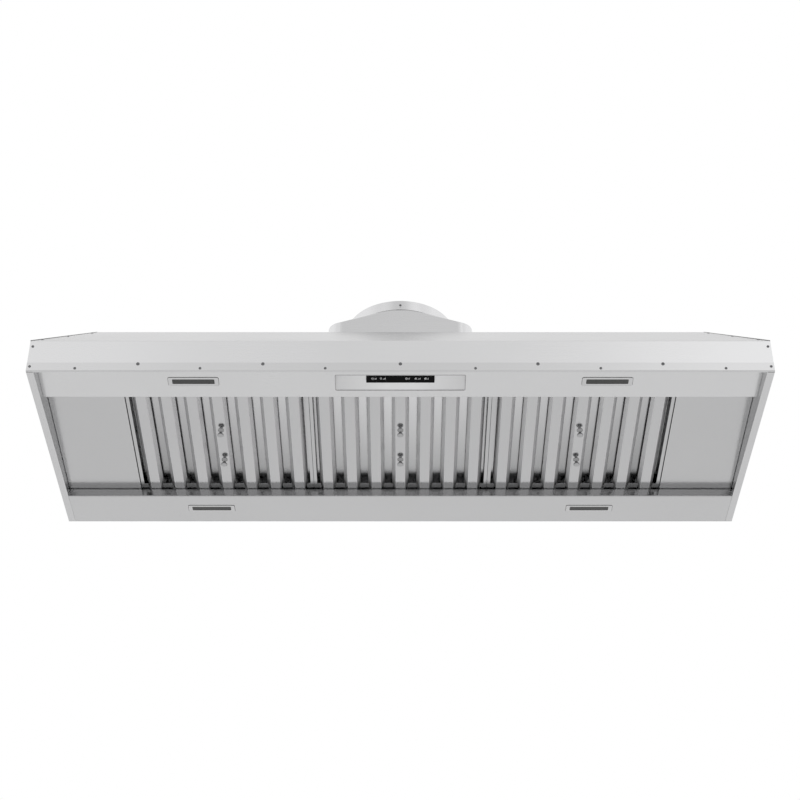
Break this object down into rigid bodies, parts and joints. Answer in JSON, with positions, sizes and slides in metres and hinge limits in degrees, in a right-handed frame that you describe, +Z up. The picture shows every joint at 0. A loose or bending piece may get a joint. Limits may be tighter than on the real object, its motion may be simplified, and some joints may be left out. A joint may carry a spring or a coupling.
{
  "type": "wall mount range hood",
  "caption": "Wall mount range hood: hipped stainless canopy with swing-down baffle filters, lamps, touch control, centrifugal blower and a round duct collar with damper flaps.",
  "frame": {"origin": "centre of the wall screw pattern on the back face of the hood", "axes": "+X across the hood to its right seen from the front, +Y into the wall, +Z up"},
  "size_m": [1.518, 0.5735, 0.4342],
  "materials": {
    "canopy_steel": "fine brushed",
    "panel_steel": "fine brushed",
    "filler_steel": "satin",
    "frame_steel": "satin",
    "baffle_steel": "polished",
    "knob_steel": "polished",
    "spring_steel": "bare",
    "lamp_trim": "satin",
    "lamp_lens": "frosted",
    "led_board": "matte",
    "tray_steel": "satin",
    "control_glass": "gloss",
    "electronics": "matte",
    "galvanised": "galvanised",
    "duct_steel": "satin",
    "motor_paint": "semi-gloss",
    "bearing_steel": "ground",
    "wheel_aluminium": "bare",
    "gland_plastic": "matte",
    "screw_steel": "plated"
  },
  "bodies": {
    "hood": {"back_panel": "galvanised", "blower_motor": "motor_paint", "blower_scroll_left": "galvanised", "blower_scroll_right": "galvanised", "cable_gland": "gland_plastic", "canopy_shell": "canopy_steel", "control_board": "electronics", "control_glass": "control_glass", "control_tray": "tray_steel", "corner_screws": "screw_steel", "damper_rod": "duct_steel", "duct_collar": "duct_steel", "duct_transition": "duct_steel", "filler_panel_left": "filler_steel", "filler_panel_right": "filler_steel", "filter_left_catches": "spring_steel", "filter_middle_catches": "spring_steel", "filter_right_catches": "spring_steel", "front_left_lamp_housing": "lamp_trim", "front_left_lamp_lens": "lamp_lens", "front_light_panel": "panel_steel", "front_rail": "canopy_steel", "front_right_lamp_housing": "lamp_trim", "front_right_lamp_lens": "lamp_lens", "hip_screws": "screw_steel", "led_boards": "led_board", "lip_screws_large": "screw_steel", "lip_screws_small": "screw_steel", "motor_bearings": "bearing_steel", "motor_bracket": "galvanised", "power_box": "galvanised", "rear_left_lamp_housing": "lamp_trim", "rear_left_lamp_lens": "lamp_lens", "rear_light_panel": "panel_steel", "rear_right_lamp_housing": "lamp_trim", "rear_right_lamp_lens": "lamp_lens", "side_panel_left": "canopy_steel", "side_panel_right": "canopy_steel", "transition_screws": "screw_steel"},
    "filter_left": {"filter_left_frame": "frame_steel", "filter_left_front_baffles": "baffle_steel", "filter_left_rear_baffles": "baffle_steel", "filter_left_knobs": "knob_steel"},
    "filter_middle": {"filter_middle_frame": "frame_steel", "filter_middle_front_baffles": "baffle_steel", "filter_middle_rear_baffles": "baffle_steel", "filter_middle_knobs": "knob_steel"},
    "filter_right": {"filter_right_frame": "frame_steel", "filter_right_front_baffles": "baffle_steel", "filter_right_rear_baffles": "baffle_steel", "filter_right_knobs": "knob_steel"},
    "blower": {"motor_shaft": "bearing_steel", "blower_wheel_left": "wheel_aluminium", "blower_wheel_right": "wheel_aluminium"},
    "damper_left": {"damper_flap_left": "duct_steel"},
    "damper_right": {"damper_flap_right": "duct_steel"}
  },
  "joints": [
    {"name": "filter_left_swing", "type": "hinge", "parent": "hood", "child": "filter_left", "pos_m": [-0.3872, -0.1022, -0.132], "axis": [1, 0, 0], "range_deg": [0, 70], "deforming": ["filter_left_catches"]},
    {"name": "filter_middle_swing", "type": "hinge", "parent": "hood", "child": "filter_middle", "pos_m": [0, -0.1022, -0.132], "axis": [1, 0, 0], "range_deg": [0, 70], "deforming": ["filter_middle_catches"]},
    {"name": "filter_right_swing", "type": "hinge", "parent": "hood", "child": "filter_right", "pos_m": [0.3872, -0.1022, -0.132], "axis": [1, 0, 0], "range_deg": [0, 70], "deforming": ["filter_right_catches"]},
    {"name": "blower_spin", "type": "hinge", "parent": "hood", "child": "blower", "pos_m": [0, -0.1825, 0.0372], "axis": [1, 0, 0], "continuous": true},
    {"name": "damper_left_open", "type": "hinge", "parent": "hood", "child": "damper_left", "pos_m": [0, -0.1395, 0.2618], "axis": [0, 1, 0], "range_deg": [0, 80]},
    {"name": "damper_right_open", "type": "hinge", "parent": "hood", "child": "damper_right", "pos_m": [0, -0.1395, 0.2618], "axis": [0, -1, 0], "range_deg": [0, 80]}
  ]
}
